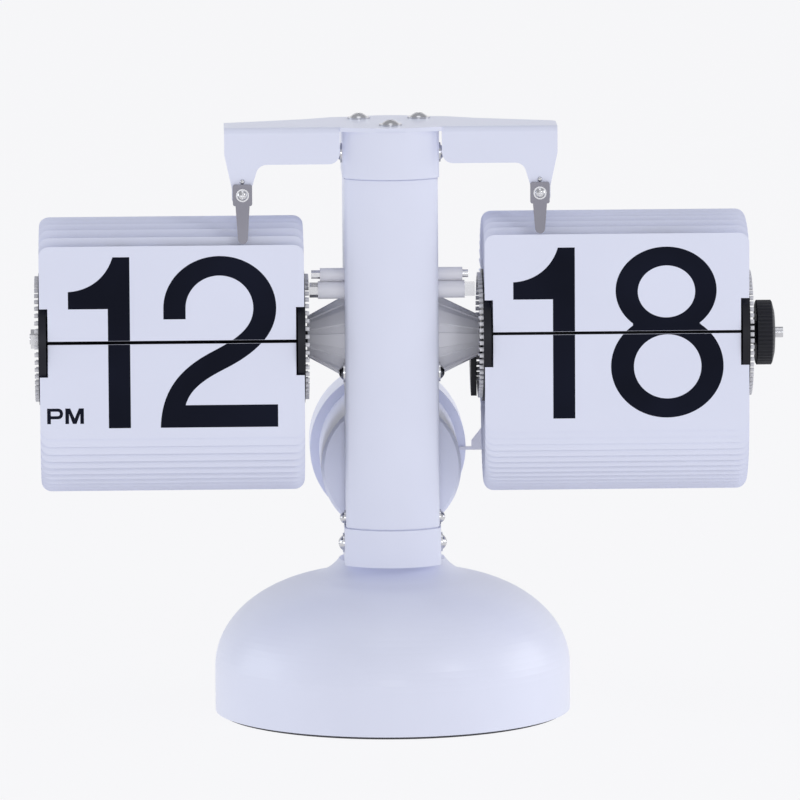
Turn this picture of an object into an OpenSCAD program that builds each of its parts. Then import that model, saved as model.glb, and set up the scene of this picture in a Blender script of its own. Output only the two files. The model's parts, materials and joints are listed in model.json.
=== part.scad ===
// Flip number clock: two split-leaf drums on one shaft, either side of a
// column that stands on a domed base.
// Frame: origin at the centre of the base underside, +X to the right of the
// reader, -Y to the front, +Z up. Millimetres.

/* [Base] */
// Radius of the base at its rim
base_r = 49.3; // [45:0.1:55]
// Height of the upright rim of the base
rim_h = 13; // [10:0.5:16]
// Wall of the base casting
base_wall = 3; // [2:0.5:4]
// Height of the top of the neck, where the column stands
neck_z = 43; // [42:0.5:44]

/* [Column] */
// Width of the column
column_w = 25.8; // [25:0.1:28]
// Front of the column, ahead of the drum shaft
column_front = 20; // [19:0.5:22]
// Back of the column, behind the drum shaft
column_back = 12; // [11:0.5:13]
// Height of the top of the column
column_top = 163.6; // [160:0.1:166]
// Sheet thickness of the column
sheet_t = 1.4; // [1:0.1:1.6]

/* [Drums] */
// Height of the drum shaft
axis_z = 105; // [104:0.5:106]
// Radius of the circle of leaf hinges
hinge_r = 16.8; // [16.5:0.1:17.2]
// Radius of the drum discs
disc_r = 18.3; // [18:0.1:18.6]
// Thickness of a drum disc
disc_t = 2.1; // [2:0.1:2.6]
// Distance from the column centre to the middle of the minute leaves
minute_x = 61.9; // [61:0.1:62.4]
// Distance from the column centre to the middle of the hour leaves
hour_x = 60.5; // [60:0.1:61]
// Number of leaves on the minute drum
minute_leaves = 60; // [60]
// Number of leaves on the hour drum
hour_leaves = 48; // [48]

/* [Leaves] */
// Width of a leaf
leaf_w = 72.8; // [70:0.1:74]
// Length of a minute leaf from its hinge line
minute_leaf_l = 26.5; // [25:0.1:27]
// Length of an hour leaf from its hinge line
hour_leaf_l = 25.6; // [25:0.1:27]
// Thickness of a leaf
leaf_t = 0.16; // [0.12:0.01:0.2]
// Radius of the free corners of a leaf
leaf_corner_r = 2.8; // [2:0.1:4]
// Width of the hinge-corner notch that clears a disc
notch_w = 2.3; // [2.2:0.1:2.8]
// Length of the hinge-corner notch
notch_l = 8.4; // [8.4:0.1:9]
// Angle of the standing minute leaf's hinge above the front of the drum
minute_phase = 11.5; // [8:0.5:12]
// Angle of the standing hour leaf's hinge above the front of the drum
hour_phase = 7; // [6:0.5:8]

/* [Top arm] */
// Reach of the arm to either side
arm_reach = 45.7; // [45:0.1:48]
// Front face of the arm, ahead of the drum shaft
arm_front = 16.8; // [16:0.1:18]
// Sheet thickness of the arm
arm_t = 1.2; // [1:0.1:1.5]
// Distance of each finger from the column centre
finger_x = 40.8; // [40:0.1:42]

/* [Battery barrel] */
// Height of the barrel's axis
barrel_z = 68.4; // [68.2:0.1:68.6]
// Radius of the barrel behind its front step
barrel_r = 21.9; // [21:0.1:22.1]
// Length of the barrel
barrel_l = 57.5; // [56.5:0.5:60]

/* [Hidden] */
$fn = 64;
eps = 0.01;

// ---- Derived places ----
rim_lift = 0.8;
foot_z = neck_z;
foot_top = 53.3;
head_bottom = 150.6;
arm_top = column_top + arm_t;
arm_drop = 10.1;
leaf_half = leaf_w / 2;
disc_outer_x = leaf_half + 0.3;
disc_inner_x = disc_outer_x - disc_t;
minute_lap = 0.45;
hour_lap = 0.6;
leaf_pitch = leaf_t + 0.05;
minute_step = 360 / minute_leaves;
hour_step = 360 / hour_leaves;
ear_r = 0.575;
ear_out = 1.1;
shaft_r = 1.5;
run_clear = 0.05;
hour_tube_r = 2.8;
minute_tip_z = axis_z + hinge_r * sin(minute_phase) + minute_leaf_l;
hour_tip_z = axis_z + hinge_r * sin(hour_phase) + hour_leaf_l;
finger_clear = 0.35;
finger_t = 0.8;
finger_y = arm_front + finger_t;
plate_x = 10.6;
barrel_y0 = -1;
barrel_y1 = barrel_y0 + barrel_l;

// ---- Helpers ----
// Cylinder along X from x0 to x1
module xcyl(x0, x1, r) {
    translate([x0, 0, 0])
        rotate([0, 90, 0])
            cylinder(h = x1 - x0, r = r);
}

// Ring along X
module xring(x0, x1, ro, ri) {
    difference() {
        xcyl(x0, x1, ro);
        xcyl(x0 - 1, x1 + 1, ri);
    }
}

// Cylinder along Y from y0 to y1
module ycyl(y0, y1, r) {
    translate([0, y1, 0])
        rotate([90, 0, 0])
            cylinder(h = y1 - y0, r = r);
}

// Rectangle with round corners
module round_rect(x0, y0, x1, y1, r) {
    translate([x0 + r, y0])
        square([x1 - x0 - 2 * r, y1 - y0]);
    translate([x0, y0 + r])
        square([x1 - x0, y1 - y0 - 2 * r]);
    for (x = [x0 + r, x1 - r])
        for (y = [y0 + r, y1 - r])
            translate([x, y])
                circle(r);
}

// Pan head with a cross recess, axis up, seat at the origin
module pan_head(r, h, recess = true) {
    dome_r = (r * r + h * h) / (2 * h);
    difference() {
        intersection() {
            translate([0, 0, h - dome_r])
                sphere(dome_r);
            cylinder(h = h, r = r);
        }
        if (recess)
            for (a = [0, 90])
                rotate([0, 0, a])
                    translate([-r * 0.5, -r * 0.1, h * 0.5])
                        cube([r, r * 0.2, h]);
    }
}

// Screw: flanged pan head above the seat and a plain shank below it
module screw(head_r, head_h, shank_r, shank_l) {
    flange_h = head_h * 0.28;
    cylinder(h = flange_h, r = head_r);
    translate([0, 0, flange_h])
        pan_head(head_r * 0.78, head_h - flange_h);
    translate([0, 0, -shank_l])
        cylinder(h = shank_l, r = shank_r);
}

// Points along a circular arc
function arc(cx, cy, r, a0, a1, n) =
    [for (i = [0:n]) let (a = a0 + (a1 - a0) * i / n) [cx + r * cos(a), cy + r * sin(a)]];

// Gear outline: straight-sided teeth, thinned for backlash
module gear_2d(teeth, module_mm, thin) {
    pitch_r = teeth * module_mm / 2;
    tip_r = pitch_r + module_mm;
    root_r = pitch_r - 1.25 * module_mm;
    quarter = 90 / teeth;
    slack = thin * 180 / (PI * pitch_r) / 2;
    lean = module_mm * tan(20) * 180 / (PI * pitch_r);
    polygon([for (k = [0:teeth - 1]) let (a = 360 * k / teeth) each [
        for (p = [
            [root_r, -quarter + slack - 1.25 * lean],
            [tip_r, -quarter + slack + lean],
            [tip_r, quarter - slack - lean],
            [root_r, quarter - slack + 1.25 * lean]
        ]) [p[0] * cos(a + p[1]), p[0] * sin(a + p[1])]
    ]]);
}

// Gear on the X axis with a bore
module xgear(x0, x1, teeth, module_mm, bore_r, phase = 0, thin = 0.1) {
    translate([x0, 0, 0])
        rotate([0, 90, 0])
            difference() {
                linear_extrude(x1 - x0)
                    rotate(phase)
                        gear_2d(teeth, module_mm, thin);
                translate([0, 0, -1])
                    cylinder(h = x1 - x0 + 2, r = bore_r);
            }
}

// ---- Base ----
shoulder_x = 14;
shoulder_h = 25.8;
neck_r = 15;

// The neck sweeps out of the shoulder where the shoulder's curve reaches neck_join
neck_join = 76;
neck_fillet = 12.5;
neck_slope = atan(shoulder_h / (base_r - shoulder_x) / tan(neck_join));
neck_cx = shoulder_x + (base_r - shoulder_x) * cos(neck_join) + neck_fillet * sin(neck_slope);
neck_cz = rim_h + shoulder_h * sin(neck_join) + neck_fillet * cos(neck_slope);
neck_end = 180 + asin((neck_cz - neck_z) / neck_fillet);

// Dome profile, inset by t: upright rim, elliptical shoulder, concave neck
function dome_profile(t) = concat(
    [[0, rim_lift - (t > 0 ? 1 : 0)], [base_r - t, rim_lift - (t > 0 ? 1 : 0)]],
    [for (a = [0:4:neck_join + (t > 0 ? 4 : -4)])
        [shoulder_x + (base_r - shoulder_x - t) * cos(a), rim_h + (shoulder_h - t) * sin(a)]],
    t > 0 ? [[neck_r - t, neck_z - t], [0, neck_z - t]]
          : concat(arc(neck_cx, neck_cz, neck_fillet, 270 - neck_slope, neck_end, 12), [[0, neck_z]])
);

column_bolt_r = 1.6;
module column_bolt_places() {
    for (a = [90, 210, 330])
        rotate([0, 0, a])
            translate([7.5, 0, 0])
                children();
}

plate_screw_r = 1.5;
module plate_screw_places() {
    for (a = [30, 150, 270])
        rotate([0, 0, a])
            translate([30, 0, 0])
                children();
}

pad_t = rim_lift;
plate_t = 2;
ballast_h = 14;

module base_dome() {
    color("ghostwhite")
    difference() {
        rotate_extrude($fn = 128)
            polygon(dome_profile(0));
        rotate_extrude($fn = 128)
            polygon(dome_profile(base_wall));
        column_bolt_places()
            translate([0, 0, neck_z - base_wall - 1])
                cylinder(h = base_wall + 2, r = column_bolt_r);
    }
}

module foot_pad() {
    color("dimgray")
    difference() {
        cylinder(h = pad_t, r = base_r - 1.6);
        plate_screw_places()
            translate([0, 0, -1])
                cylinder(h = 3, r = 3.4);
    }
}

module base_plate() {
    color("silver")
    translate([0, 0, pad_t])
        difference() {
            cylinder(h = plate_t, r = base_r - base_wall - 0.1);
            plate_screw_places()
                translate([0, 0, -1])
                    cylinder(h = plate_t + 2, r = plate_screw_r);
        }
}

module base_ballast() {
    color("gray")
    translate([0, 0, pad_t + plate_t])
        difference() {
            cylinder(h = ballast_h, r = 38);
            plate_screw_places()
                translate([0, 0, -1])
                    cylinder(h = ballast_h + 2, r = plate_screw_r);
        }
}

module base_screws() {
    color("silver")
    plate_screw_places() {
        translate([0, 0, 0.2])
            cylinder(h = pad_t - 0.2, r = 3);
        translate([0, 0, pad_t])
            cylinder(h = 9, r = plate_screw_r);
    }
}

module column_bolts() {
    color("silver")
    column_bolt_places() {
        translate([0, 0, neck_z - base_wall - 2.4])
            cylinder(h = 2.4, r = 2.9);
        translate([0, 0, neck_z - base_wall])
            cylinder(h = base_wall + 2.4, r = column_bolt_r);
    }
}

// ---- Column ----
half_w = column_w / 2;
bow_r = 17.5;
bow_y = bow_r - column_front;
corner_r = 3;
corner_x = half_w - corner_r;
corner_y = bow_y - sqrt(pow(bow_r - corner_r, 2) - corner_x * corner_x);
foot_floor = 2.4;
cover_z0 = foot_z + foot_floor;
cover_z1 = column_top - 1.2;
notch_z0 = 46;
notch_z1 = 91;
notch_y = barrel_y0 - 0.8;
collar_t = 0.4;

// Plan of the column grown by g: a bowed front that runs smoothly into round corners
module column_plan(g) {
    bow_half = corner_x * (bow_r + g) / (bow_r - corner_r);
    intersection() {
        translate([0, bow_y])
            circle(bow_r + g, $fn = 180);
        translate([-bow_half, bow_y - 2 * bow_r])
            square([2 * bow_half, 2 * bow_r]);
    }
    for (x = [-corner_x, corner_x])
        translate([x, corner_y])
            circle(corner_r + g);
    translate([-half_w - g, corner_y])
        square([column_w + 2 * g, column_back - corner_y]);
}

// Space at the back of the lower column that the battery barrel fills
module barrel_notch() {
    translate([-half_w - 5, notch_y, notch_z0])
        cube([column_w + 10, column_back - notch_y + 5, notch_z1 - notch_z0]);
}

head_screw_z = 157;
mid_screw_z = 96.3;
low_screw_z = 55.6;
foot_screw_z = 48.6;
side_head_r = 2.7;
low_head_r = 2.1;
side_head_h = 1.7;
side_shank_l = 2.2;
side_screw_y = -9;
mid_screw_y = -10.9;
side_screw_r = 1.2;
slit_w = 1.6;

bush_r = 5;
lower_post_y = -9.5;
lower_post_z = 119.1;
upper_post_z = 123.4;
lower_post_r = 2.45;
upper_post_r = 1.77;
seam_w = 0.35;

// One level of side screws, both sides; off is how far the seat is out
module side_screw_pair(y, z, off, head_r) {
    for (s = [-1, 1])
        translate([s * (half_w + off), y, z])
            rotate([0, 90 * s, 0])
                screw(head_r, side_head_h, side_screw_r, side_shank_l);
}

module side_screw_holes(y, z) {
    translate([0, y, z])
        xcyl(-half_w - 2, half_w + 2, side_screw_r);
}

module column_cover() {
    color("ghostwhite")
    difference() {
        translate([0, 0, cover_z0])
            linear_extrude(cover_z1 - cover_z0)
                difference() {
                    column_plan(0);
                    column_plan(-sheet_t);
                    translate([-half_w + sheet_t, 0])
                        square([column_w - 2 * sheet_t, column_back + 1]);
                }
        barrel_notch();
        side_screw_holes(mid_screw_y, mid_screw_z);
        for (z = [head_screw_z, low_screw_z, foot_screw_z])
            side_screw_holes(side_screw_y, z);
        translate([0, 0, axis_z])
            xcyl(-half_w - 2, half_w + 2, bush_r);
        translate([0, lower_post_y, lower_post_z])
            xcyl(-half_w - 2, half_w + 2, lower_post_r);
        translate([0, lower_post_y, upper_post_z])
            xcyl(-half_w - 2, half_w + 2, upper_post_r);
        for (z = [foot_top, head_bottom - seam_w])
            translate([0, 0, z])
                linear_extrude(seam_w)
                    difference() {
                        column_plan(1);
                        column_plan(-seam_w);
                    }
        for (z = [64, 70])
            translate([-half_w - 1, -7, z])
                cube([column_w + 2, slit_w, 4]);
    }
}

module column_foot() {
    color("ghostwhite")
    difference() {
        translate([0, 0, foot_z])
            linear_extrude(foot_top - foot_z)
                column_plan(collar_t);
        translate([0, 0, cover_z0])
            linear_extrude(foot_top)
                column_plan(0);
        barrel_notch();
        side_screw_holes(side_screw_y, foot_screw_z);
        column_bolt_places()
            translate([0, 0, foot_z - 1])
                cylinder(h = foot_floor + 2, r = column_bolt_r);
    }
}

module column_head() {
    color("ghostwhite")
    difference() {
        translate([0, 0, head_bottom])
            linear_extrude(column_top - head_bottom)
                column_plan(collar_t);
        translate([0, 0, head_bottom - 1])
            linear_extrude(cover_z1 - head_bottom + 1)
                column_plan(0);
        side_screw_holes(side_screw_y, head_screw_z);
        arm_screw_holes();
    }
}

module column_side_screws() {
    color("silver") {
        side_screw_pair(side_screw_y, head_screw_z, collar_t, side_head_r);
        side_screw_pair(mid_screw_y, mid_screw_z, 0, side_head_r);
        side_screw_pair(side_screw_y, low_screw_z, 0, low_head_r);
        side_screw_pair(side_screw_y, foot_screw_z, collar_t, side_head_r);
    }
}

module rear_cover() {
    color("ghostwhite")
    translate([-half_w + sheet_t + 0.05, column_back - 1.2, notch_z1 + 1.5])
        cube([column_w - 2 * sheet_t - 0.1, 1.2, cover_z1 - notch_z1 - 1.5]);
}

// ---- Top arm and fingers ----
arm_screw_r = 1.4;
arm_screws = [[0, -12.5], [-8.3, 6.5], [8.3, 6.5]];
arm_leg_z = 144;
arm_web_z = arm_top - arm_drop;
arm_root_x = half_w + collar_t + 0.7;

module arm_screw_holes() {
    for (p = arm_screws)
        translate([p[0], p[1], cover_z1 - 6])
            cylinder(h = arm_top - cover_z1 + 12, r = arm_screw_r);
}

// Plan of the top plate: straight front, bowed lip, back wide at the column
module arm_plan() {
    lip = 3.4;
    polygon(concat(
        [[-arm_reach, -arm_front], [-14, -arm_front]],
        [for (i = [-6:6]) [i * 2, -arm_front - lip * cos(i * 13)]],
        [[14, -arm_front], [arm_reach, -arm_front], [arm_reach, -arm_front + 12.8],
         [arm_reach - 1.6, -arm_front + 14.4], [24, 5.5], [16, 10.5]],
        arc(0, -0.6, 15.2, 55, 125, 10),
        [[-16, 10.5], [-24, 5.5], [-arm_reach, -arm_front + 14.4]]
    ));
}

// Front web with its downturned end, for the right-hand side, drawn in X and Z
module arm_web() {
    polygon(concat(
        [[arm_root_x, arm_top], [arm_reach, arm_top], [arm_reach, 157.5], [arm_reach - 2, 148.2]],
        arc(arm_reach - 3.4, arm_leg_z + 1.4, 1.4, 0, -90, 5),
        arc(39.9, arm_leg_z + 1.4, 1.4, -90, -180, 5),
        [[38.2, 148.5]],
        arc(34.1, arm_web_z - 3, 3, 10, 90, 6),
        arc(arm_root_x + 3, arm_web_z + 3, 3, -90, -180, 6)
    ));
}

module top_arm() {
    color("ghostwhite")
    difference() {
        union() {
            translate([0, 0, column_top])
                linear_extrude(arm_t)
                    arm_plan();
            for (s = [-1, 1])
                mirror([s < 0 ? 1 : 0, 0, 0])
                    translate([arm_root_x, -arm_front + fold_r, arm_top - fold_r])
                        intersection() {
                            xcyl(0, arm_reach - arm_root_x, fold_r);
                            translate([0, -fold_r, 0])
                                cube([arm_reach - arm_root_x, fold_r, fold_r]);
                        }
            for (s = [-1, 1])
                mirror([s < 0 ? 1 : 0, 0, 0])
                    translate([0, -arm_front + arm_t, 0])
                        rotate([90, 0, 0])
                            linear_extrude(arm_t)
                                arm_web();
        }
        arm_screw_holes();
        for (s = [-1, 1])
            translate([s * finger_x, 0, finger_screw_z])
                ycyl(-arm_front - 1, -arm_front + arm_t + 1, finger_screw_r);
        for (s = [-1, 1])
            mirror([s < 0 ? 1 : 0, 0, 0])
                arm_fold_corner();
    }
}

// What is rounded off the outside of the fold between the top plate and a web
fold_r = 1.9;
module arm_fold_corner() {
    difference() {
        translate([14, -arm_front - 1, arm_top - fold_r])
            cube([arm_reach, fold_r + 1, fold_r + 1]);
        translate([0, -arm_front + fold_r, arm_top - fold_r])
            xcyl(0, arm_reach + 20, fold_r);
    }
}

module top_arm_screws() {
    color("silver")
    for (p = arm_screws)
        translate([p[0], p[1], arm_top])
            screw(3.15, 1.6, arm_screw_r, 4.4);
}

finger_screw_z = 146.4;
finger_screw_r = 0.9;
finger_head_w = 5.3;
finger_head_h = 5.9;
pin_r = 0.7;
blade_w0 = 4;
blade_w1 = 2.7;

// Leaf catch: square head and a blade that tapers to a round tip at tip_z
module finger(tip_z) {
    head_z0 = finger_screw_z - finger_head_h / 2;
    translate([0, -arm_front, 0])
        rotate([90, 0, 0])
            difference() {
                linear_extrude(finger_t)
                    union() {
                        round_rect(-finger_head_w / 2, head_z0, finger_head_w / 2,
                                   head_z0 + finger_head_h, 0.6);
                        polygon(concat(
                            [[blade_w0 / 2, head_z0 + 1], [-blade_w0 / 2, head_z0 + 1]],
                            arc(0, tip_z + blade_w1 / 2, blade_w1 / 2, 180, 360, 10)
                        ));
                    }
                translate([0, finger_screw_z, -1])
                    cylinder(h = finger_t + 2, r = finger_screw_r);
            }
}

module finger_left() {
    color("silver")
    translate([-finger_x, 0, 0])
        finger(hour_tip_z + finger_clear);
}

module finger_right() {
    color("silver")
    translate([finger_x, 0, 0])
        finger(minute_tip_z + finger_clear);
}

module finger_screws() {
    color("silver")
    for (s = [-1, 1])
        translate([s * finger_x, -finger_y, finger_screw_z])
            rotate([90, 0, 0])
                screw(1.8, 1.1, finger_screw_r, finger_t + arm_t);
}

module finger_pins() {
    color("silver")
    for (s = [-1, 1])
        translate([s * finger_x, -arm_front, finger_screw_z + finger_head_h / 2 + pin_r + 0.05])
            rotate([90, 0, 0])
                pan_head(pin_r, 0.6, false);
}

// ---- Funnels, posts and side pieces ----
funnel_r0 = 11.1;
funnel_r1 = 5.6;
funnel_wall = 1.3;

module funnel(funnel_x1) {
    difference() {
        translate([half_w, 0, 0])
            rotate([0, 90, 0])
                cylinder(h = funnel_x1 - half_w, r1 = funnel_r0, r2 = funnel_r1);
        translate([half_w - eps, 0, 0])
            rotate([0, 90, 0])
                cylinder(h = funnel_x1 - half_w + 2 * eps,
                         r1 = funnel_r0 - funnel_wall, r2 = funnel_r1 - funnel_wall);
    }
}

module funnel_left() {
    color("lightgray")
    translate([0, 0, axis_z])
        mirror([1, 0, 0])
            funnel(23);
}

module funnel_right() {
    color("lightgray")
    translate([0, 0, axis_z])
        funnel(24.3);
}

post_x1 = 20.2;
module spacer_posts() {
    color("whitesmoke")
    for (s = [-1, 1])
        mirror([s < 0 ? 1 : 0, 0, 0])
            translate([0, lower_post_y, 0]) {
                translate([0, 0, lower_post_z])
                    xcyl(half_w - sheet_t, post_x1, lower_post_r);
                translate([0, 0, upper_post_z])
                    xcyl(half_w - sheet_t, post_x1 - 0.6, upper_post_r);
            }
}

module post_nuts() {
    color("silver") {
        translate([-22.5, lower_post_y, lower_post_z])
            rotate([0, 90, 0])
                cylinder(h = 22.5 - post_x1, r = 2.1, $fn = 6);
        translate([-22, lower_post_y, upper_post_z])
            rotate([0, 90, 0])
                cylinder(h = 22 - post_x1 + 0.6, r = 1.2, $fn = 6);
        translate([post_x1, lower_post_y - 1.8, lower_post_z - 1.8])
            cube([2.8, 3.6, 3.6]);
        translate([post_x1 - 0.6, lower_post_y, upper_post_z])
            xcyl(0, 1.6, 1.1);
    }
}

// Black side plate that slips over the right funnel, and the grey tab below it
guard_x0 = 22.3;
guard_x1 = 23.9;
module leaf_guard() {
    color("dimgray") {
        translate([0, 0, axis_z])
            difference() {
                xcyl(guard_x0, guard_x1, 18);
                xcyl(guard_x0 - 1, guard_x1 + 1, 6.7);
                translate([0, -40 + 4, 0])
                    cube([100, 80, 80], center = true);
                translate([0, 0, 40 - 3])
                    cube([100, 80, 80], center = true);
            }
    }
}

// Grey tab on the step of the barrel that keeps the hanging leaves from swinging in
module leaf_tab() {
    color("lightgray")
    translate([0, barrel_step_y, 0])
        rotate([90, 0, 0])
            linear_extrude(1)
                polygon([[20.2, 67.6], [28, 67.6], [28, 76], [23.5, 70.2], [23.5, 68.5], [20.2, 68.5]]);
}

// ---- Movement inside the column ----
fine_m = 0.3;
lay_a = 12;
hour_m = 2 * lay_a / 70;
motor_a = 10.5;
motor_turn = 45;
motor_y = -motor_a * sin(motor_turn);
motor_z = axis_z - motor_a * cos(motor_turn);
lay_z = axis_z + lay_a;
lay_r = 1;
pillars = [[-11.5, 124.5], [8.6, 125], [-11.8, 110.4]];
pillar_r = 1.6;
plate_gap_x = 9.4;
gear_plate_t = 1.2;

module gear_plate(s, shaft_hole) {
    color("silver")
    difference() {
        translate([s > 0 ? plate_gap_x : -plate_gap_x - gear_plate_t, 0, 0])
            rotate([90, 0, 90])
                linear_extrude(gear_plate_t)
                    round_rect(-13.8, 92.2, 10.4, 127.5, 2);
        translate([0, 0, axis_z])
            xcyl(-20, 20, shaft_hole);
        translate([0, 0, lay_z])
            xcyl(-20, 20, lay_r + run_clear);
        for (p = pillars)
            translate([0, p[0], p[1]])
                xcyl(-20, 20, 0.8);
    }
}

module gear_plate_left() {
    gear_plate(-1, bush_r);
}

module gear_plate_right() {
    gear_plate(1, bush_r);
}

module gear_pillars() {
    color("goldenrod")
    for (p = pillars)
        translate([0, p[0], p[1]]) {
            xcyl(-plate_gap_x, plate_gap_x, pillar_r);
            xcyl(-plate_gap_x - gear_plate_t, plate_gap_x + gear_plate_t, 0.8);
        }
}

module shaft_bushes() {
    color("goldenrod")
    translate([0, 0, axis_z]) {
        xring(-half_w - 1.6, -plate_gap_x, bush_r, hour_tube_r + run_clear);
        xring(plate_gap_x, half_w + 1.6, bush_r, shaft_r + run_clear);
    }
}

motor_x0 = -4.2;
motor_x1 = 1.2;
module motor() {
    color("gray")
    translate([0, motor_y, motor_z]) {
        xcyl(motor_x0, motor_x1, 7.4);
        xcyl(motor_x1, 4, 1.2);
        translate([motor_x0 - 1, -1.5, -6])
            cube([1, 3, 12]);
    }
}

module motor_pinion() {
    color("goldenrod")
    translate([0, motor_y, motor_z])
        union() {
            xgear(4.5, 6.7, 10, fine_m, 0.5, 27);
            xcyl(4.5, 6.7, 0.6);
        }
}

module minute_wheel() {
    color("goldenrod")
    translate([0, 0, axis_z])
        xgear(5, 6.2, 60, fine_m, shaft_r);
}

module minute_pinion() {
    color("goldenrod")
    translate([0, 0, axis_z])
        xgear(1.8, 3.4, 16, fine_m, shaft_r);
}

module lay_shaft() {
    color("silver")
    translate([0, 0, lay_z])
        xcyl(-plate_gap_x - gear_plate_t, plate_gap_x + gear_plate_t, lay_r);
}

module lay_wheel() {
    color("goldenrod")
    translate([0, 0, lay_z])
        xgear(2, 3.2, 64, fine_m, lay_r, 180 / 64);
}

module lay_pinion() {
    color("goldenrod")
    translate([0, 0, lay_z])
        xgear(-6.8, -5, 10, hour_m, lay_r, 18);
}

module hour_wheel() {
    color("goldenrod")
    translate([0, 0, axis_z])
        xgear(-6.5, -5.3, 60, hour_m, hour_tube_r);
}

module circuit_board() {
    color("seagreen")
    translate([-8, 3, 131]) {
        cube([16, 1.2, 20]);
        translate([5, -1.6, 8])
            cube([6, 1.6, 6]);
    }
}

// ---- Shaft, knob and drums ----
shaft_x0 = -99.8;
shaft_x1 = 108.7;
nut_x0 = -99.5;
nut_t = 2;
knob_x0 = 101;
knob_x1 = 106.4;
knob_r = 9.05;
knob_flutes = 48;

module main_shaft() {
    color("silver")
    translate([0, 0, axis_z])
        xcyl(shaft_x0, shaft_x1, shaft_r);
}

module shaft_nut() {
    color("silver")
    translate([0, 0, axis_z])
        rotate([0, 90, 0])
            difference() {
                translate([0, 0, nut_x0])
                    cylinder(h = nut_t, r = 2.7, $fn = 6);
                translate([0, 0, nut_x0 - 1])
                    cylinder(h = nut_t + 2, r = shaft_r);
            }
}

module set_knob() {
    color("black")
    translate([0, 0, axis_z])
        difference() {
            union() {
                translate([knob_x0, 0, 0])
                    rotate([0, 90, 0])
                        linear_extrude(knob_x1 - knob_x0)
                            polygon([for (k = [0:2 * knob_flutes - 1])
                                let (r = knob_r - (k % 2) * 0.4, a = 180 * k / knob_flutes)
                                    [r * cos(a), r * sin(a)]]);
                xcyl(minute_x + disc_outer_x, knob_x0, 3.2);
            }
            xcyl(knob_x0 - 5, knob_x1 + 1, shaft_r);
        }
}

// One ring of ear pins standing on a disc face, from x0 outwards
module ear_ring(x0, x1, count, phase) {
    for (k = [0:count - 1])
        rotate([-phase - 360 * k / count, 0, 0])
            translate([0, -hinge_r, 0])
                xcyl(x0, x1, ear_r, $fn = 24);
}

module drum_ears(count, phase) {
    ear_ring(-disc_outer_x - ear_out, -disc_outer_x, count, phase);
    ear_ring(disc_outer_x, disc_outer_x + ear_out, count, phase);
}

module at_minute() {
    translate([minute_x, 0, axis_z])
        children();
}

module at_hour() {
    translate([-hour_x, 0, axis_z])
        children();
}

module minute_disc_inner() {
    color("black")
    at_minute()
        xring(-disc_outer_x, -disc_inner_x, disc_r, shaft_r);
}

module minute_disc_outer() {
    color("black")
    at_minute()
        xring(disc_inner_x, disc_outer_x, disc_r, shaft_r);
}

module minute_hub() {
    color("black")
    at_minute()
        xring(-disc_inner_x, disc_inner_x, 6, shaft_r);
}

module minute_ears() {
    color("whitesmoke")
    at_minute()
        drum_ears(minute_leaves, minute_phase);
}

module hour_disc_inner() {
    color("black")
    at_hour()
        xring(disc_inner_x, disc_outer_x, disc_r, hour_tube_r);
}

module hour_disc_outer() {
    color("black")
    at_hour()
        xring(-disc_outer_x, -disc_inner_x, disc_r, hour_tube_r);
}

module hour_hub() {
    color("black")
    translate([0, 0, axis_z])
        difference() {
            union() {
                xcyl(-hour_x - disc_outer_x, -5.2, hour_tube_r);
                xcyl(-hour_x - disc_inner_x, -hour_x + disc_inner_x, 6);
            }
            xcyl(-hour_x - 50, 0, shaft_r + run_clear);
        }
}

module hour_ears() {
    color("whitesmoke")
    at_hour()
        drum_ears(hour_leaves, hour_phase);
}

// ---- Leaves ----
// Outline of a leaf: hinge line on the X axis, free edge towards +Y, lap below the hinge
module leaf_outline(length, lap) {
    difference() {
        union() {
            translate([-leaf_half, -lap])
                square([leaf_w, length + lap - leaf_corner_r]);
            translate([-leaf_half + leaf_corner_r, -lap])
                square([leaf_w - 2 * leaf_corner_r, length + lap]);
            for (s = [-1, 1])
                translate([s * (leaf_half - leaf_corner_r), length - leaf_corner_r])
                    circle(leaf_corner_r);
        }
        for (x = [-leaf_half - 1, leaf_half - notch_w])
            translate([x, -lap - 1])
                square([notch_w + 1, notch_l + lap + 1]);
    }
}

// A leaf whose hinge is at y, z from the shaft, leaning back by lean from upright
module leaf(y, z, lean, length, lap) {
    translate([0, y, z])
        rotate([90 - lean, 0, 0])
            translate([0, 0, -leaf_t / 2])
                linear_extrude(leaf_t)
                    leaf_outline(length, lap);
}

// Lean of a leaf whose hinge is at angle a from the front, over the top
function leaf_lean(a) =
    min(180, a - 5 - 10 * sin(a) - 4 * max(0, (35 - a) / 24));

// Depth of a hanging leaf near the front: each hangs clear of the one behind it
function hang_y(a, step) =
    a < -2.5 * step ? -hinge_r * cos(a)
                    : min(-hinge_r * cos(a), hang_y(a - step, step) - leaf_pitch);

// Leaves with hinge number k0 to k1, counted from the standing front leaf
module leaves(k0, k1, step, phase, length, lap) {
    for (k = [k0:k1]) {
        a = phase + k * step;
        front_hang = a > 270;
        y = front_hang ? hang_y(a - 360, step) : -hinge_r * cos(a);
        leaf(y, hinge_r * sin(a), front_hang ? 180 : leaf_lean(a), length, lap);
    }
}

flip_slack = 0.7;
module flip_leaf(phase, length, lap) {
    leaf(-hinge_r * cos(phase) - flip_slack, hinge_r * sin(phase), 0, length, lap);
}

module minute_span(k0, k1) {
    color("white")
    at_minute()
        leaves(k0, k1, minute_step, minute_phase, minute_leaf_l, minute_lap);
}

module hour_span(k0, k1) {
    color("white")
    at_hour()
        leaves(k0, k1, hour_step, hour_phase, hour_leaf_l, hour_lap);
}

minute_top = floor((90 - minute_phase) / minute_step);
minute_rear = floor((186 - minute_phase) / minute_step);
hour_top = floor((90 - hour_phase) / hour_step);
hour_rear = floor((186 - hour_phase) / hour_step);

module minute_leaves_top() {
    minute_span(1, minute_top);
}

module minute_leaves_rear() {
    minute_span(minute_top + 1, minute_rear);
}

module minute_leaves_lower() {
    minute_span(minute_rear + 1, minute_leaves - 1);
}

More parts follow.
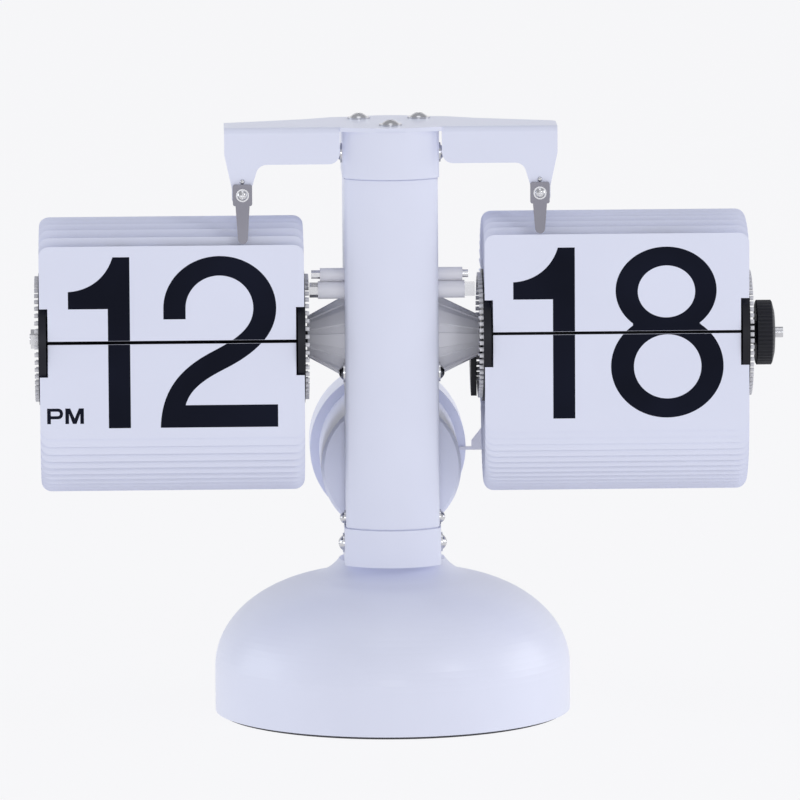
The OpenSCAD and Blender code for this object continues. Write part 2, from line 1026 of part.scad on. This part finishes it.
module minute_flip_leaf() {
    color("white")
    at_minute()
        flip_leaf(minute_phase, minute_leaf_l, minute_lap);
}

module hour_leaves_top() {
    hour_span(1, hour_top);
}

module hour_leaves_rear() {
    hour_span(hour_top + 1, hour_rear);
}

module hour_leaves_lower() {
    hour_span(hour_rear + 1, hour_leaves - 1);
}

module hour_flip_leaf() {
    color("white")
    at_hour()
        flip_leaf(hour_phase, hour_leaf_l, hour_lap);
}

// ---- Battery barrel ----
barrel_front_r = 19.4;
barrel_step_y = 38;
barrel_edge = 0.8;
barrel_wall = 1.8;
cap_t = 3;
cap_plug_l = 4;
cell_r = 13.1;
cell_l = 48.5;
cell_y0 = 3.6;

module battery_barrel() {
    color("ghostwhite")
    translate([0, 0, barrel_z])
        difference() {
            union() {
                translate([0, barrel_y0 + barrel_edge, 0])
                    rotate([90, 0, 0])
                        cylinder(h = barrel_edge, r1 = barrel_front_r, r2 = barrel_front_r - barrel_edge);
                ycyl(barrel_y0 + barrel_edge, barrel_step_y + 1, barrel_front_r);
                ycyl(barrel_step_y, barrel_y1 - cap_t, barrel_r);
            }
            ycyl(barrel_y0 + 2, barrel_step_y + 3, barrel_front_r - barrel_wall);
            ycyl(barrel_step_y + barrel_wall, barrel_y1, barrel_r - barrel_wall);
        }
}

module battery_cap() {
    color("ghostwhite")
    translate([0, 0, barrel_z])
        difference() {
            union() {
                ycyl(barrel_y1 - cap_t + 0.05, barrel_y1, barrel_r);
                ycyl(barrel_y1 - cap_t - cap_plug_l, barrel_y1 - cap_t + 0.1, barrel_r - barrel_wall - 0.08);
            }
            ycyl(barrel_y1 - cap_t - cap_plug_l - 1, barrel_y1 - cap_t, barrel_r - barrel_wall - 2);
            translate([-8, barrel_y1 - 1, -1])
                cube([16, 2, 2]);
        }
}

module cell_cradle() {
    color("whitesmoke")
    translate([0, 0, barrel_z])
        difference() {
            ycyl(barrel_y0 + 2.1, barrel_y1 - cap_t - cap_plug_l - 1, barrel_front_r - barrel_wall - 0.1);
            ycyl(0, barrel_y1, cell_r + 0.3);
        }
}

module battery_cell() {
    color("orange")
    translate([0, 0, barrel_z])
        union() {
            ycyl(cell_y0, cell_y0 + cell_l, cell_r);
            ycyl(cell_y0 + cell_l, cell_y0 + cell_l + 1.3, 2.8);
        }
}

spring_wire_r = 0.35;
module contact_spring() {
    color("silver")
    translate([0, barrel_y0 + 2, barrel_z])
        rotate([-90, 0, 0]) {
            cylinder(h = 0.4, r = 7);
            for (k = [0:2])
                translate([0, 0, 0.7 + k * 0.72])
                    rotate_extrude()
                        translate([6 - k, 0])
                            circle(spring_wire_r, $fn = 16);
        }
}

foot_pad();
base_plate();
base_ballast();
base_dome();
base_screws();
column_bolts();
column_cover();
column_foot();
column_head();
column_side_screws();
rear_cover();
top_arm();
top_arm_screws();
finger_left();
finger_right();
finger_screws();
finger_pins();
funnel_left();
funnel_right();
spacer_posts();
post_nuts();
leaf_guard();
leaf_tab();
gear_plate_left();
gear_plate_right();
gear_pillars();
shaft_bushes();
motor();
motor_pinion();
minute_wheel();
minute_pinion();
lay_shaft();
lay_wheel();
lay_pinion();
hour_wheel();
circuit_board();
main_shaft();
shaft_nut();
set_knob();
minute_disc_inner();
minute_disc_outer();
minute_hub();
minute_ears();
minute_leaves_top();
minute_leaves_rear();
minute_leaves_lower();
minute_flip_leaf();
hour_disc_inner();
hour_disc_outer();
hour_hub();
hour_ears();
hour_leaves_top();
hour_leaves_rear();
hour_leaves_lower();
hour_flip_leaf();
battery_barrel();
battery_cap();
cell_cradle();
battery_cell();
contact_spring();
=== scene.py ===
"""Looks for the flip number clock: materials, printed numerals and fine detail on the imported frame."""
import json
import math

import bmesh
import bpy
from mathutils import Matrix, Vector


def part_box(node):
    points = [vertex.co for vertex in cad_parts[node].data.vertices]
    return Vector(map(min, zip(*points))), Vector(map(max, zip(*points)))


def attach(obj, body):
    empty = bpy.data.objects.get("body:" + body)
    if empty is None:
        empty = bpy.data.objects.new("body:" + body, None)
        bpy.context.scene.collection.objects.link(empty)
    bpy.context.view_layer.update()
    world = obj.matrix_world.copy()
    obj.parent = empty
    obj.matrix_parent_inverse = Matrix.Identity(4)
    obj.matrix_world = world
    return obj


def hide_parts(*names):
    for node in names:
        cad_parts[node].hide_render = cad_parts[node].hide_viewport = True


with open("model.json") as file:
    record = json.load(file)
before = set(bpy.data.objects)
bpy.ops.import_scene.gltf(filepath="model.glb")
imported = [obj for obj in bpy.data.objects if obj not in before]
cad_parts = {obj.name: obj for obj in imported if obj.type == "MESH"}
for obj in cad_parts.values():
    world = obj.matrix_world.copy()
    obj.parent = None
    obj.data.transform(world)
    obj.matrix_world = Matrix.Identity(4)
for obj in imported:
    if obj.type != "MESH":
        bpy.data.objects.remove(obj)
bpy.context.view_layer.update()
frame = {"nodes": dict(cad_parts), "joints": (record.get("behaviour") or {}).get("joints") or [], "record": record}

MM = 0.001
TAU = 2 * math.pi


def joint_at(name):
    """Where a joint's axis passes, in metres."""
    return Vector(next(j["pos_m"] for j in frame["joints"] if j["name"] == name))


# ---------------------------------------------------------------- materials
# What every material shares: how rough its clear coat is, how many colour patches there are
# to a metre, and how deep its grain is, in mm
COAT_ROUGHNESS = 0.12
PATCHES_PER_M = 45
RELIEF_MM = 0.05


def node_link(tree, a, a_out, b, b_in):
    """Joins a node's output to another node's input."""
    tree.links.new(a.outputs[a_out], b.inputs[b_in])


def material(name, color, rough, metallic=0.0, grain_mm=0.5, bump=0.1, tint=0.03,
             rough_spread=0.06, coat=0.0, specular=0.5, streak=None):
    """A Principled surface with fine grain in its colour, roughness and bump.

    grain_mm is the size of the grain, tint how much its colour wanders, and streak
    stretches the grain along one axis, as brushing or drawing does."""
    m = bpy.data.materials.new(name)
    m.use_nodes = True
    tree = m.node_tree
    shader = tree.nodes["Principled BSDF"]
    shader.inputs["Metallic"].default_value = metallic
    shader.inputs["Coat Weight"].default_value = coat
    shader.inputs["Coat Roughness"].default_value = COAT_ROUGHNESS
    shader.inputs["Specular IOR Level"].default_value = specular
    coords = tree.nodes.new("ShaderNodeTexCoord")
    mapping = tree.nodes.new("ShaderNodeMapping")
    mapping.inputs["Scale"].default_value = streak or (1, 1, 1)
    node_link(tree, coords, "Object", mapping, "Vector")

    fine = tree.nodes.new("ShaderNodeTexNoise")
    fine.inputs["Scale"].default_value = 1 / (grain_mm * MM)
    fine.inputs["Detail"].default_value = 3
    node_link(tree, mapping, "Vector", fine, "Vector")
    broad = tree.nodes.new("ShaderNodeTexNoise")
    broad.inputs["Scale"].default_value = PATCHES_PER_M
    broad.inputs["Detail"].default_value = 2
    node_link(tree, coords, "Object", broad, "Vector")

    ramp = tree.nodes.new("ShaderNodeValToRGB")
    dark = [c * (1 - tint) for c in color]
    light = [min(1, c * (1 + tint)) for c in color]
    ramp.color_ramp.elements[0].position = 0.3
    ramp.color_ramp.elements[0].color = (*dark, 1)
    ramp.color_ramp.elements[1].position = 0.7
    ramp.color_ramp.elements[1].color = (*light, 1)
    node_link(tree, broad, "Fac", ramp, "Fac")
    node_link(tree, ramp, "Color", shader, "Base Color")

    spread = tree.nodes.new("ShaderNodeMapRange")
    spread.inputs["To Min"].default_value = max(0.02, rough - rough_spread)
    spread.inputs["To Max"].default_value = min(1, rough + rough_spread)
    node_link(tree, fine, "Fac", spread, "Value")
    node_link(tree, spread, "Result", shader, "Roughness")

    relief = tree.nodes.new("ShaderNodeBump")
    relief.inputs["Strength"].default_value = bump
    relief.inputs["Distance"].default_value = RELIEF_MM * MM
    node_link(tree, fine, "Fac", relief, "Height")
    node_link(tree, relief, "Normal", shader, "Normal")
    return m


MATERIALS = {
    "white_paint": material("white_paint", (0.75, 0.775, 0.92), 0.42, grain_mm=0.35, bump=0.22,
                            tint=0.012, coat=0.15),
    "pad_rubber": material("pad_rubber", (0.05, 0.05, 0.055), 0.8, grain_mm=0.6, bump=0.4, tint=0.1),
    "zinc_steel": material("zinc_steel", (0.6, 0.61, 0.64), 0.35, 1.0, 0.2, 0.15, 0.08,
                           streak=(1, 1, 12)),
    "iron": material("iron", (0.18, 0.18, 0.19), 0.7, 1.0, 0.8, 0.5, 0.15),
    "bright_steel": material("bright_steel", (0.6, 0.6, 0.62), 0.2, 1.0, 0.3, 0.08, 0.1),
    "finger_steel": material("finger_steel", (0.24, 0.235, 0.27), 0.38, 1.0, 0.15, 0.12, 0.08,
                             streak=(10, 1, 1)),
    "grey_plastic": material("grey_plastic", (0.7, 0.7, 0.76), 0.38, grain_mm=0.3, bump=0.1, tint=0.02),
    "black_plastic": material("black_plastic", (0.004, 0.0045, 0.011), 0.4, grain_mm=0.3, bump=0.15,
                              tint=0.2, specular=0.3),
    "ear_plastic": material("ear_plastic", (0.72, 0.72, 0.76), 0.3, grain_mm=0.3, bump=0.05, tint=0.03),
    "leaf_plastic": material("leaf_plastic", (0.76, 0.785, 0.93), 0.5, grain_mm=0.25, bump=0.08,
                             tint=0.01),
    "brass": material("brass", (0.72, 0.52, 0.22), 0.28, 1.0, 0.2, 0.1, 0.08),
    "motor_can": material("motor_can", (0.5, 0.5, 0.52), 0.35, 1.0, 0.2, 0.15, 0.06),
    "board": material("board", (0.03, 0.2, 0.09), 0.4, grain_mm=0.5, bump=0.1, tint=0.1),
    "cell_wrap": material("cell_wrap", (0.2, 0.22, 0.26), 0.3, grain_mm=0.4, bump=0.05, tint=0.05),
}
INK = material("numeral_ink", (0.006, 0.0075, 0.017), 0.55, grain_mm=0.3, bump=0.06, tint=0.2,
               specular=0.06)

for part in frame["record"]["subparts"]:
    cad = frame["nodes"][part["node"]]
    cad.data.materials.clear()
    cad.data.materials.append(MATERIALS[part["material_slot"]])


# ---------------------------------------------------------------- mesh helpers
def piece(name, bm, mat, body, smooth_deg=None):
    """Turns a bmesh into a finished piece that rides on a body."""
    bmesh.ops.recalc_face_normals(bm, faces=bm.faces)
    mesh = bpy.data.meshes.new(name)
    bm.to_mesh(mesh)
    bm.free()
    mesh.materials.append(mat)
    obj = bpy.data.objects.new(name, mesh)
    bpy.context.scene.collection.objects.link(obj)
    if smooth_deg is not None:
        mesh.polygons.foreach_set("use_smooth", [True] * len(mesh.polygons))
        mesh.set_sharp_from_angle(angle=math.radians(smooth_deg))
    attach(obj, body)
    return obj


def lathe_x(rings, segments, radius_at=None):
    """A closed surface of revolution about the X axis of the shaft.

    rings is a list of (x, r); radius_at(x, r, angle) may shape each ring."""
    axis = joint_at("minute_drum_spin")
    bm = bmesh.new()
    loops = []
    for x, r in rings:
        loop = []
        for i in range(segments):
            a = TAU * i / segments
            rr = radius_at(x, r, a) if radius_at else r
            out = rr * MM
            loop.append(bm.verts.new((x * MM, axis.y + out * math.cos(a), axis.z + out * math.sin(a))))
        loops.append(loop)
    closed = rings[0] == rings[-1]
    if closed:
        for v in loops.pop():
            bm.verts.remove(v)
        loops.append(loops[0])
    for a, b in zip(loops, loops[1:]):
        for i in range(segments):
            j = (i + 1) % segments
            bm.faces.new((a[i], a[j], b[j], b[i]))
    if not closed:
        bm.faces.new(loops[0])
        bm.faces.new(loops[-1])
    return bm


# ---------------------------------------------------------------- numerals
def ellipse(cx, cy, rx, ry, a0=0, a1=360, n=64):
    """Points along an ellipse from angle a0 to a1, in degrees."""
    return [(cx + rx * math.cos(math.radians(a0 + (a1 - a0) * i / n)),
             cy + ry * math.sin(math.radians(a0 + (a1 - a0) * i / n))) for i in range(n + 1)]


def bezier(p0, p1, p2, p3, n=24):
    """Points along a cubic curve, without its first point."""
    points = []
    for i in range(1, n + 1):
        t = i / n
        w = ((1 - t) ** 3, 3 * t * (1 - t) ** 2, 3 * t * t * (1 - t), t ** 3)
        points.append(tuple(sum(k * p[a] for k, p in zip(w, (p0, p1, p2, p3))) for a in (0, 1)))
    return points


# Numeral heights and strokes, in mm from the split line and the middle of a leaf
TOP, BOTTOM = 23.7, -23.7
STROKE = 6.05
TENS_RIGHT = -11.6
UNITS_X = 13.5


def numeral_one(right=TENS_RIGHT):
    """The one: stem, flag with a hollow top edge."""
    left = right - STROKE
    flag_end, flag_low, flag_top = left - 10.9, 9.4, 14.2
    hollow = bezier((flag_end, flag_top), (left - 5.2, flag_top + 0.3), (left - 0.4, flag_top + 3.6),
                    (left + 1.4, TOP))
    return [[(right, TOP), (right, BOTTOM), (left, BOTTOM), (left, flag_low),
             (flag_end, flag_low), (flag_end, flag_top)] + hollow[:-1] + [(left + 1.4, TOP)]]


def numeral_two():
    """The two: round bowl, swept diagonal, flat foot."""
    bowl_y = 9.4
    outer = ellipse(UNITS_X, bowl_y, 15.5, 14.4, 180, 0, 40)
    down = bezier((29, bowl_y), (29, 1.6), (22.5, -3.6), (15.2, -7.3))
    down += bezier((15.2, -7.3), (9, -10.4), (5.2, -13), (3.9, -17.5))
    foot = [(29.3, -17.5), (29.3, BOTTOM), (-3, BOTTOM)]
    up = bezier((-3, BOTTOM), (-2.7, -12.6), (3.3, -7), (10.8, -3))
    up += bezier((10.8, -3), (17, 0.2), (22.7, 3.4), (22.7, bowl_y))
    inner = ellipse(UNITS_X - 0.1, bowl_y, 9.3, 9, 0, 180, 40)
    start, end = (outer[0][0], 6.4), (inner[-1][0], 6.4)
    return [[start] + outer + down + foot + up + inner[1:] + [end]]


def numeral_eight():
    """The eight: two round loops that meet at a waist, with two counters."""
    top_loop = (UNITS_X, 11.6, 13.9, 12.1)
    low_loop = (UNITS_X + 0.3, -9.4, 15.5, 14.3)
    waist = 2.3
    upper = [p for p in ellipse(*top_loop, -60, 240, 80) if p[1] > waist]
    lower = [p for p in ellipse(*low_loop, 120, 420, 80) if p[1] < waist]
    return [upper + lower, ellipse(UNITS_X + 0.1, 11.3, 7.9, 7.2)[:-1],
            ellipse(UNITS_X + 0.4, -9.5, 9.3, 8.9)[:-1]]


def numeral_nine():
    """The nine: a round bowl above and a tail that sweeps under it."""
    bowl = (UNITS_X, 9.4, 15.2, 14.3)
    left_bowl = ellipse(*bowl, 0, 318, 72)
    tail_in = bezier(left_bowl[-1], (22.6, -10), (19.5, -18), (12.6, -18))
    tail_in += bezier((12.6, -18), (8.2, -18), (5.6, -15.6), (5, -12.4))
    tail_out = [(-0.9, -12.4)] + bezier((-0.9, -12.4), (-0.2, -19.6), (5.4, BOTTOM), (12.6, BOTTOM))
    tail_out += bezier((12.6, BOTTOM), (24.6, BOTTOM), (28.7, -13), (28.7, 9.4))
    return [left_bowl[1:] + tail_in + tail_out[:-1], ellipse(UNITS_X, 9.6, 9, 8.7)[:-1]]


def letters_pm():
    """The afternoon mark at the left foot of the hour leaves: wide, even letters."""
    left, foot, high, stroke = -34.2, -22.4, 4.3, 1.0
    top, p_wide, m_left, m_wide = foot + high, 4.4, -29.2, 5.1
    bowl_low = foot + 1.35
    letter_p = [(left, foot), (left, top), (left + 3, top)]
    letter_p += bezier((left + 3, top), (left + p_wide + 0.45, top), (left + p_wide + 0.45, bowl_low),
                       (left + 3, bowl_low), 12)
    letter_p += [(left + stroke, bowl_low), (left + stroke, foot)]
    eye_top, eye_low = top - 0.85, bowl_low + 0.85
    eye = [(left + stroke, eye_top), (left + 2.9, eye_top)]
    eye += bezier((left + 2.9, eye_top), (left + 3.7, eye_top), (left + 3.7, eye_low),
                  (left + 2.9, eye_low), 8)
    eye += [(left + stroke, eye_low)]
    m_mid, m_right = m_left + m_wide / 2, m_left + m_wide
    letter_m = [(m_left, foot), (m_left, top), (m_left + 1.35, top), (m_mid, foot + 1.5),
                (m_right - 1.35, top), (m_right, top), (m_right, foot), (m_right - stroke, foot),
                (m_right - stroke, top - 1.5), (m_mid + 0.5, foot), (m_mid - 0.5, foot),
                (m_left + stroke, top - 1.5), (m_left + stroke, foot)]
    return [letter_p, eye, letter_m]


# Thickness of the printed layer, and how near two points of an outline count as one
INK_T = 0.02
SAME_POINT = 1e-4


def ink(name, loops, low, high, body, place):
    """Prints the part of some outlines between two heights as a thin raised layer.

    place(u, v, out) gives the point for a place on the leaf and a height off it. An outline
    with nothing between the two heights prints nothing."""
    curve = bpy.data.curves.new(name, "CURVE")
    curve.dimensions = "2D"
    curve.fill_mode = "BOTH"
    for loop in loops:
        spline = curve.splines.new("POLY")
        spline.points.add(len(loop) - 1)
        for point, (u, v) in zip(spline.points, loop):
            point.co = (u, v, 0, 1)
        spline.use_cyclic_u = True
    holder = bpy.data.objects.new(name, curve)
    flat = bpy.data.meshes.new_from_object(holder)
    bpy.data.objects.remove(holder)
    bm = bmesh.new()
    bm.from_mesh(flat)
    bpy.data.meshes.remove(flat)
    bmesh.ops.remove_doubles(bm, verts=bm.verts, dist=SAME_POINT)
    for height, normal in ((low, -1), (high, 1)):
        bmesh.ops.bisect_plane(bm, geom=bm.verts[:] + bm.edges[:] + bm.faces[:], dist=1e-5,
                               plane_co=(0, height, 0), plane_no=(0, normal, 0), clear_outer=True)
    if not bm.faces:
        bm.free()
        return
    raised = bmesh.ops.extrude_face_region(bm, geom=bm.faces[:])
    for v in raised["geom"]:
        if isinstance(v, bmesh.types.BMVert):
            v.co.z += INK_T
    for v in bm.verts:
        v.co = place(v.co.x, v.co.y, v.co.z)
    piece(name, bm, INK, body)


# Sizes that the leaves have in the CAD, in mm
LEAF_T = 0.16
HINGE_R = 16.8

# Where the print stops, in mm: past any leaf's far edge, just inside its split edge, and
# further from that edge on a leaf's back and on the leaf behind the standing one
PAST_EDGE = 30
EDGE_MARGIN = 0.05
BACK_MARGIN = 1.3
NEXT_MARGIN = 0.4


def leaf_lean(a):
    """Lean in degrees of the leaf whose hinge is a degrees up the front of the drum."""
    return a - 5 - 10 * math.sin(math.radians(a)) - 4 * max(0, (35 - a) / 24)


def top_of_front_leaf(node):
    """Height of the upper edge of the foremost hanging leaf of a node."""
    mesh = frame["nodes"][node].data
    front = min(v.co.y for v in mesh.vertices)
    nearly_level = 0.02 * MM
    return max(v.co.z for v in mesh.vertices if v.co.y < front + nearly_level)


def print_drum(flip_body, joint, lower_node, step, lap, shift, now, after):
    """Prints one drum: the reading shown, and the next one behind the standing leaf.

    step is the angle between leaves, lap how far a leaf reaches below its hinge line and
    shift how far the print sits off the middle of the leaf."""
    hinge = joint_at(joint)
    print_x = hinge.x + shift * MM
    axis = joint_at("minute_drum_spin")
    upper_low = hinge.z - lap * MM
    split = (upper_low + top_of_front_leaf(lower_node)) / 2
    half_gap = (upper_low - split) / MM + EDGE_MARGIN
    back_y = hinge.y + LEAF_T / 2 * MM
    second = math.degrees(math.asin((hinge.z - axis.z) / (HINGE_R * MM))) + step
    angle, lean = math.radians(second), math.radians(leaf_lean(second))
    along = Vector((0, math.sin(lean), math.cos(lean)))
    outward = Vector((0, -math.cos(lean), math.sin(lean)))
    second_hinge = Vector((print_x, -HINGE_R * MM * math.cos(angle),
                           axis.z + HINGE_R * MM * math.sin(angle)))

    def on_front(y):
        return lambda u, v, out: Vector((print_x + u * MM, y - out * MM, split + v * MM))

    def on_back(u, v, out):
        return Vector((print_x + u * MM, back_y + out * MM, 2 * hinge.z - split - v * MM))

    def on_second(u, v, out):
        return (second_hinge + Vector((u * MM, 0, 0)) + along * (split - hinge.z + v * MM)
                + outward * ((LEAF_T / 2 + out) * MM))

    front_y = hinge.y - LEAF_T / 2 * MM
    low_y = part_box(lower_node)[0].y
    for i, outline in enumerate(now):
        ink(f"{flip_body}_ink_upper_{i}", outline, half_gap, PAST_EDGE, flip_body, on_front(front_y))
        ink(f"{flip_body}_ink_lower_{i}", outline, -PAST_EDGE, -half_gap, "root", on_front(low_y))
    for i, outline in enumerate(after):
        ink(f"{flip_body}_ink_back_{i}", outline, -PAST_EDGE, -half_gap - BACK_MARGIN, flip_body,
            on_back)
        ink(f"{flip_body}_ink_next_{i}", outline, half_gap + NEXT_MARGIN, PAST_EDGE, "root", on_second)


twelve_pm = [numeral_one(TENS_RIGHT + 0.4), numeral_two(), letters_pm()]
print_drum("minute_flip", "minute_leaf_flip", "minute_leaves_lower", step=6, lap=0.45, shift=0,
           now=[numeral_one(), numeral_eight()], after=[numeral_one(), numeral_nine()])
print_drum("hour_flip", "hour_leaf_flip", "hour_leaves_lower", step=7.5, lap=0.6, shift=-0.3,
           now=twelve_pm, after=twelve_pm)


# ---------------------------------------------------------------- ribbed funnels
# Count of the ribs, the share of the round that they take, how far they stand above the cone
# and how far the strips between them are sunk, in mm
RIBS = 10
RIB_SHARE = 0.6
RIB_HIGH = 0.1
RIB_STEP = 0.45


def funnel(side, low, high):
    """A hollow cone whose outside is broken into wide flat ribs with a step at each edge."""
    ends = (low, high) if side > 0 else (high, low)
    x0, x1 = (abs(end.x) / MM for end in ends)
    r0, r1, wall, steps = 11.1, 5.6, 1.3, 8
    outer = [(x0 + (x1 - x0) * i / steps, r0 + (r1 - r0) * i / steps) for i in range(steps + 1)]
    inner = [(x, r - wall) for x, r in reversed(outer)]
    rings = [(side * x, r) for x, r in outer + inner]
    rings.append(rings[0])
    outside = {(side * x, r) for x, r in outer}
    half = math.pi / RIBS

    def ribbed(x, r, angle):
        if (x, r) not in outside:
            return r
        off = (angle + half) % (2 * half) - half
        on_rib = abs(off) < RIB_SHARE * half
        flat = r * math.cos(half * RIB_SHARE) / math.cos(off) if on_rib else r - RIB_STEP
        return flat + RIB_HIGH

    return lathe_x(rings, 240, ribbed)


for side, node in ((-1, "funnel_left"), (1, "funnel_right")):
    made = piece(f"ribbed_{node}", funnel(side, *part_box(node)), MATERIALS["grey_plastic"], "root",
                 20)
    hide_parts(node)


# ---------------------------------------------------------------- knob
def knob(low, high):
    """The set knob: fine flutes, eased ends and a low domed face round a sunk middle."""
    bore, collar, grip, length = 1.5, 3.2, 8.8, 5.4
    flutes, flute_high, flute_sunk = 48, 0.24, 0.05
    x0, x3 = low.x / MM, high.x / MM
    x1 = x3 - length
    rings = [(x0, bore), (x0, collar), (x1, collar), (x1, 8.4), (x1 + 0.3, grip), (x3 - 1.1, grip),
             (x3 - 0.8, 8.5), (x3 - 0.2, 6.2), (x3, 3.4), (x3 - 0.4, 3.1), (x3 - 0.4, bore),
             (x0, bore)]

    def fluted(x, r, angle):
        if r < grip:
            return r
        return r + flute_high * abs(math.sin(flutes / 2 * angle)) - flute_sunk

    return lathe_x(rings, 384, fluted)


made = piece("fluted_knob", knob(*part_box("set_knob")), MATERIALS["black_plastic"], "minute_drum",
             25)
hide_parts("set_knob")


# ---------------------------------------------------------------- stage, light, camera
def stage():
    """A pale floor that curves up into a backdrop."""
    bm = bmesh.new()
    bend_y, bend_r, half_width = 6.6, 0.9, 7.0
    profile = [(-7.0, 0.0), (bend_y, 0.0)]
    turns = [math.radians(a) for a in range(6, 91, 6)]
    profile += [(bend_y + bend_r * math.sin(a), bend_r - bend_r * math.cos(a)) for a in turns]
    profile += [(bend_y + bend_r, 6.0)]
    rows = [[bm.verts.new((x, y, z)) for x in (-half_width, half_width)] for y, z in profile]
    for a, b in zip(rows, rows[1:]):
        bm.faces.new((a[0], a[1], b[1], b[0]))
    mesh = bpy.data.meshes.new("studio_floor")
    bm.to_mesh(mesh)
    bm.free()
    m = bpy.data.materials.new("studio_paper")
    m.use_nodes = True
    shader = m.node_tree.nodes["Principled BSDF"]
    shader.inputs["Base Color"].default_value = (0.06, 0.06, 0.062, 1)
    shader.inputs["Roughness"].default_value = 0.9
    shader.inputs["Specular IOR Level"].default_value = 0
    shader.inputs["Emission Color"].default_value = (0.985, 0.985, 1, 1)
    shader.inputs["Emission Strength"].default_value = 0.9
    mesh.materials.append(m)
    floor = bpy.data.objects.new("studio_floor", mesh)
    bpy.context.scene.collection.objects.link(floor)
    mesh.polygons.foreach_set("use_smooth", [True] * len(mesh.polygons))


def area_light(name, place, target, size, watts, color):
    """A square soft light that faces a point."""
    data = bpy.data.lights.new(name, "AREA")
    data.size = size
    data.energy = watts
    data.color = color
    obj = bpy.data.objects.new(name, data)
    obj.location = place
    obj.rotation_euler = (Vector(target) - Vector(place)).to_track_quat("-Z", "Y").to_euler()
    bpy.context.scene.collection.objects.link(obj)


def lights():
    """A bright room, lamps in front and above, and a stronger one at each side."""
    world = bpy.data.worlds.new("studio")
    bpy.context.scene.world = world
    world.use_nodes = True
    background = world.node_tree.nodes["Background"]
    background.inputs["Color"].default_value = (0.95, 0.96, 1.0, 1)
    background.inputs["Strength"].default_value = 0.54
    middle = (0, 0, 0.09)
    area_light("key", (1.1, -1.3, 0.9), middle, 0.4, 2.8, (0.98, 0.98, 1))
    area_light("front", (0.45, -1.9, 1.4), middle, 1.2, 1.7, (0.95, 0.97, 1))
    area_light("low_front", (-0.05, -2.4, 0.38), middle, 0.6, 3.9, (0.95, 0.97, 1))
    area_light("top", (0, -0.5, 2), middle, 1.0, 3.0, (0.95, 0.97, 1))
    area_light("left_side", (-1.5, 0.2, 0.25), middle, 1.0, 6, (0.88, 0.94, 1))
    area_light("right_side", (1.5, 0.2, 0.3), middle, 1.0, 7, (1, 1, 1))


def camera():
    """A long lens a little to the left of square, looking slightly down."""
    data = bpy.data.cameras.new("camera")
    obj = bpy.data.objects.new("camera", data)
    bpy.context.scene.collection.objects.link(obj)
    azimuth = math.radians(1.45)
    distance, height = 2.5, 0.43
    place = Vector((-distance * math.sin(azimuth), -distance * math.cos(azimuth), height))
    target = Vector((0.0025, 0, 0.087))
    data.sensor_width = 36
    span = 0.2216
    data.lens = 36 * (target - place).length / span
    data.clip_end = 50
    roll = math.radians(-0.35)
    aim = (target - place).to_track_quat("-Z", "Y").to_matrix().to_4x4()
    obj.matrix_world = Matrix.Translation(place) @ aim @ Matrix.Rotation(roll, 4, "Z")
    bpy.context.scene.camera = obj


stage()
lights()
camera()
bpy.context.scene.view_settings.view_transform = "Standard"
